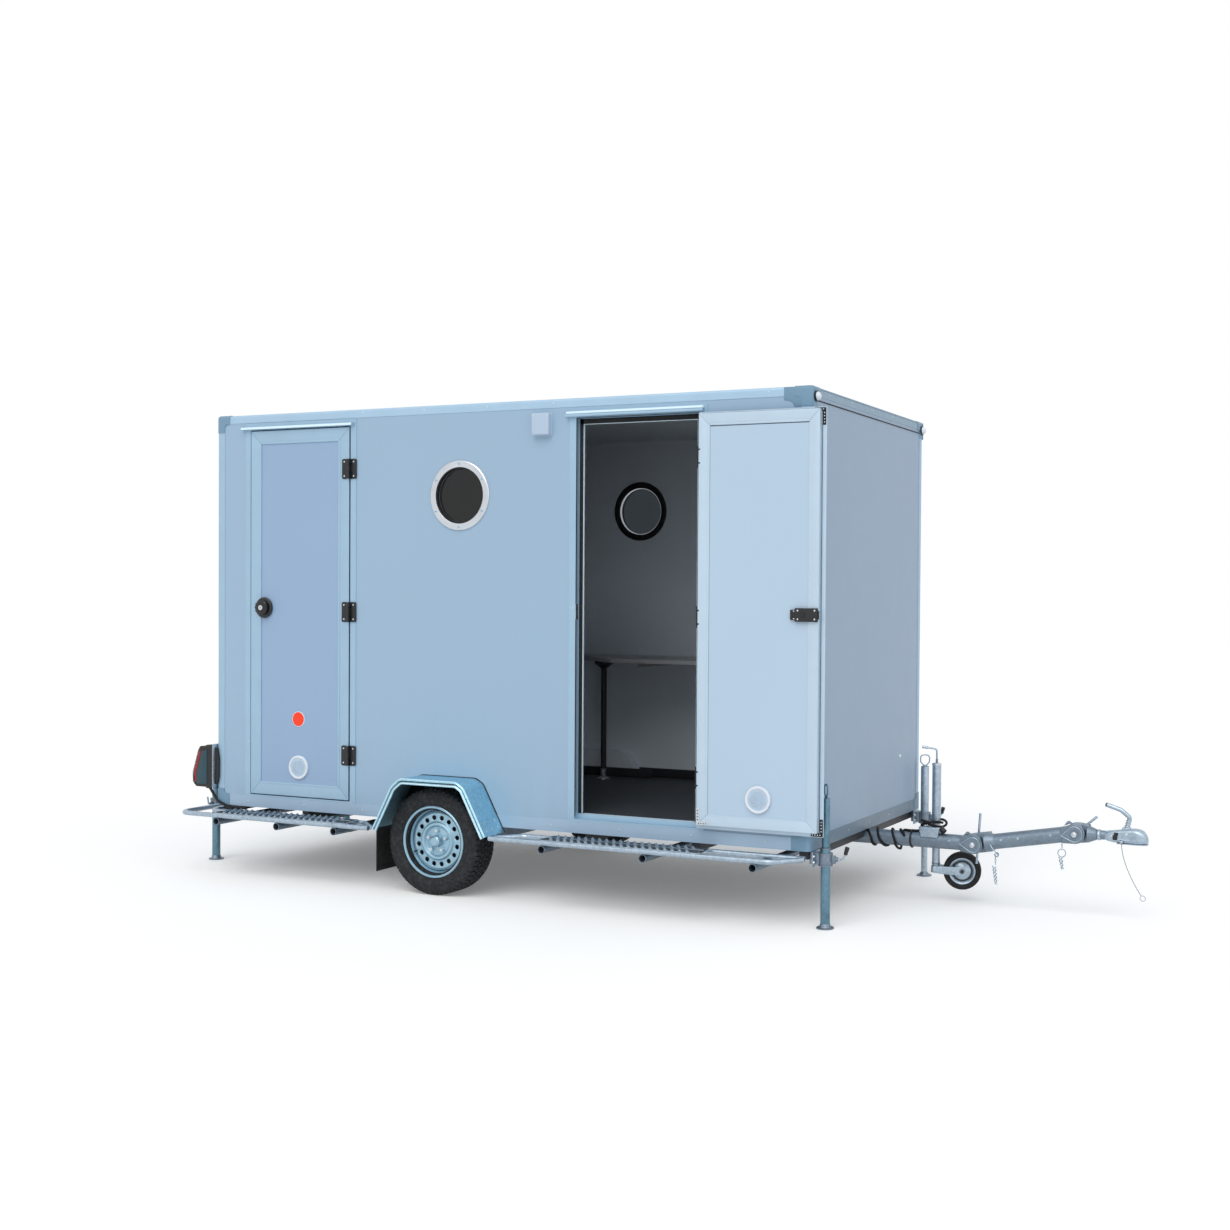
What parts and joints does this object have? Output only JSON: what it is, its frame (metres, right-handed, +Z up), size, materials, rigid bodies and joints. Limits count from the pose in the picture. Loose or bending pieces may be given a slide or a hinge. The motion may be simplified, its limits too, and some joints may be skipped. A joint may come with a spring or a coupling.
{
  "type": "small cabin trailer",
  "caption": "Single-axle box cabin trailer with side doors, portholes, prop legs, jockey wheel and an adjustable jointed drawbar.",
  "frame": {"origin": "on the ground, at the middle of the overall length and on the trailer's centreline", "axes": "+X forward towards the coupling, +Y to the trailer's left, away from the doors, +Z up"},
  "size_m": [5.5149, 2.139, 2.656],
  "materials": {
    "wall_paint": "satin",
    "door_paint": "satin",
    "profile": "satin",
    "casting": "satin",
    "galvanised": "satin",
    "dark_frame": "satin",
    "floor_ply": "matte",
    "liner": "satin",
    "black_plastic": "satin",
    "white_plastic": "satin",
    "pane": "gloss",
    "lens": "gloss",
    "tyre_rubber": "matte",
    "rubber": "matte",
    "rim_silver": "satin",
    "table": "satin"
  },
  "bodies": {
    "trailer": {"floor": "floor_ply", "side_panel_right": "wall_paint", "side_panel_left": "wall_paint", "end_panels": "wall_paint", "roof_panel": "wall_paint", "floor_profile": "profile", "roof_profile": "profile", "corner_posts": "profile", "corner_castings": "casting", "partition": "liner", "front_door_frame": "profile", "rear_door_frame": "profile", "hinge_plates": "black_plastic", "porthole_rings": "profile", "porthole_glass": "pane", "table_top": "table", "table_leg": "dark_frame", "chassis_rails": "dark_frame", "cross_members": "dark_frame", "outriggers": "galvanised", "axle": "galvanised", "wheel_boxes": "black_plastic", "fenders": "galvanised", "mudflaps": "rubber", "side_rails": "galvanised", "tread_plates": "galvanised", "rear_lamps": "black_plastic", "rear_lamp_lenses": "lens", "small_lamps": "white_plastic", "galvanised_brackets": "galvanised", "drawbar": "galvanised", "jockey_outer": "galvanised", "lead": "rubber"},
    "front_door": {"front_door_leaf": "profile", "front_door_panel": "door_paint", "front_door_hinges": "black_plastic", "front_door_lock": "black_plastic"},
    "rear_door": {"rear_door_leaf": "profile", "rear_door_panel": "wall_paint", "rear_door_hinges": "black_plastic", "rear_door_lock": "black_plastic"},
    "wheel_right": {"tyre_right": "tyre_rubber", "rim_right": "rim_silver"},
    "wheel_left": {"tyre_left": "tyre_rubber", "rim_left": "rim_silver"},
    "leg_front_right_body": {"leg_front_right": "galvanised"},
    "leg_front_left_body": {"leg_front_left": "galvanised"},
    "leg_rear_right_body": {"leg_rear_right": "galvanised"},
    "leg_rear_left_body": {"leg_rear_left": "galvanised"},
    "drawbar_middle_body": {"drawbar_middle": "galvanised"},
    "coupling": {"coupling_shaft": "galvanised", "coupling_head": "galvanised", "coupling_lever": "galvanised", "safety_cable": "rubber", "cable_ring": "galvanised"},
    "jockey_tube": {"jockey_inner": "galvanised"},
    "jockey_fork_body": {"jockey_fork": "galvanised"},
    "jockey_wheel_body": {"jockey_wheel": "rubber"}
  },
  "joints": [
    {"name": "front_door_hinge", "type": "hinge", "parent": "trailer", "child": "front_door", "pos_m": [0.6755, -0.889, 1.5], "axis": [0, 0, 1], "range_deg": [-180, 0]},
    {"name": "rear_door_hinge", "type": "hinge", "parent": "trailer", "child": "rear_door", "pos_m": [-1.5015, -0.889, 1.5], "axis": [0, 0, 1], "range_deg": [0, 125]},
    {"name": "wheel_right_spin", "type": "hinge", "parent": "trailer", "child": "wheel_right", "pos_m": [-0.8655, -0.885, 0.289], "axis": [0, 1, 0], "continuous": true},
    {"name": "wheel_left_spin", "type": "hinge", "parent": "trailer", "child": "wheel_left", "pos_m": [-0.8655, 0.885, 0.289], "axis": [0, 1, 0], "continuous": true},
    {"name": "leg_front_right_slide", "type": "slide", "parent": "trailer", "child": "leg_front_right_body", "axis": [0, 0, 1], "range_m": [0, 0.24]},
    {"name": "leg_front_left_slide", "type": "slide", "parent": "trailer", "child": "leg_front_left_body", "axis": [0, 0, 1], "range_m": [0, 0.06]},
    {"name": "leg_rear_right_slide", "type": "slide", "parent": "trailer", "child": "leg_rear_right_body", "axis": [0, 0, 1], "range_m": [0, 0.06]},
    {"name": "leg_rear_left_slide", "type": "slide", "parent": "trailer", "child": "leg_rear_left_body", "axis": [0, 0, 1], "range_m": [0, 0.06]},
    {"name": "drawbar_joint_rear", "type": "hinge", "parent": "trailer", "child": "drawbar_middle_body", "pos_m": [1.8665, 0, 0.342], "axis": [0, 1, 0], "range_deg": [-40, 4]},
    {"name": "drawbar_joint_front", "type": "hinge", "parent": "drawbar_middle_body", "child": "coupling", "pos_m": [2.3965, 0, 0.434], "axis": [0, 1, 0], "range_deg": [-30, 20]},
    {"name": "jockey_slide", "type": "slide", "parent": "trailer", "child": "jockey_tube", "axis": [0, 0, 1], "range_m": [-0.065, 0.02]},
    {"name": "jockey_swivel", "type": "hinge", "parent": "jockey_tube", "child": "jockey_fork_body", "pos_m": [1.6275, 0.09, 0.196], "axis": [0, 0, 1], "continuous": true},
    {"name": "jockey_wheel_spin", "type": "hinge", "parent": "jockey_fork_body", "child": "jockey_wheel_body", "pos_m": [1.76304, 0.12505, 0.172], "axis": [-0.2504, 0.9681, 0], "continuous": true}
  ]
}
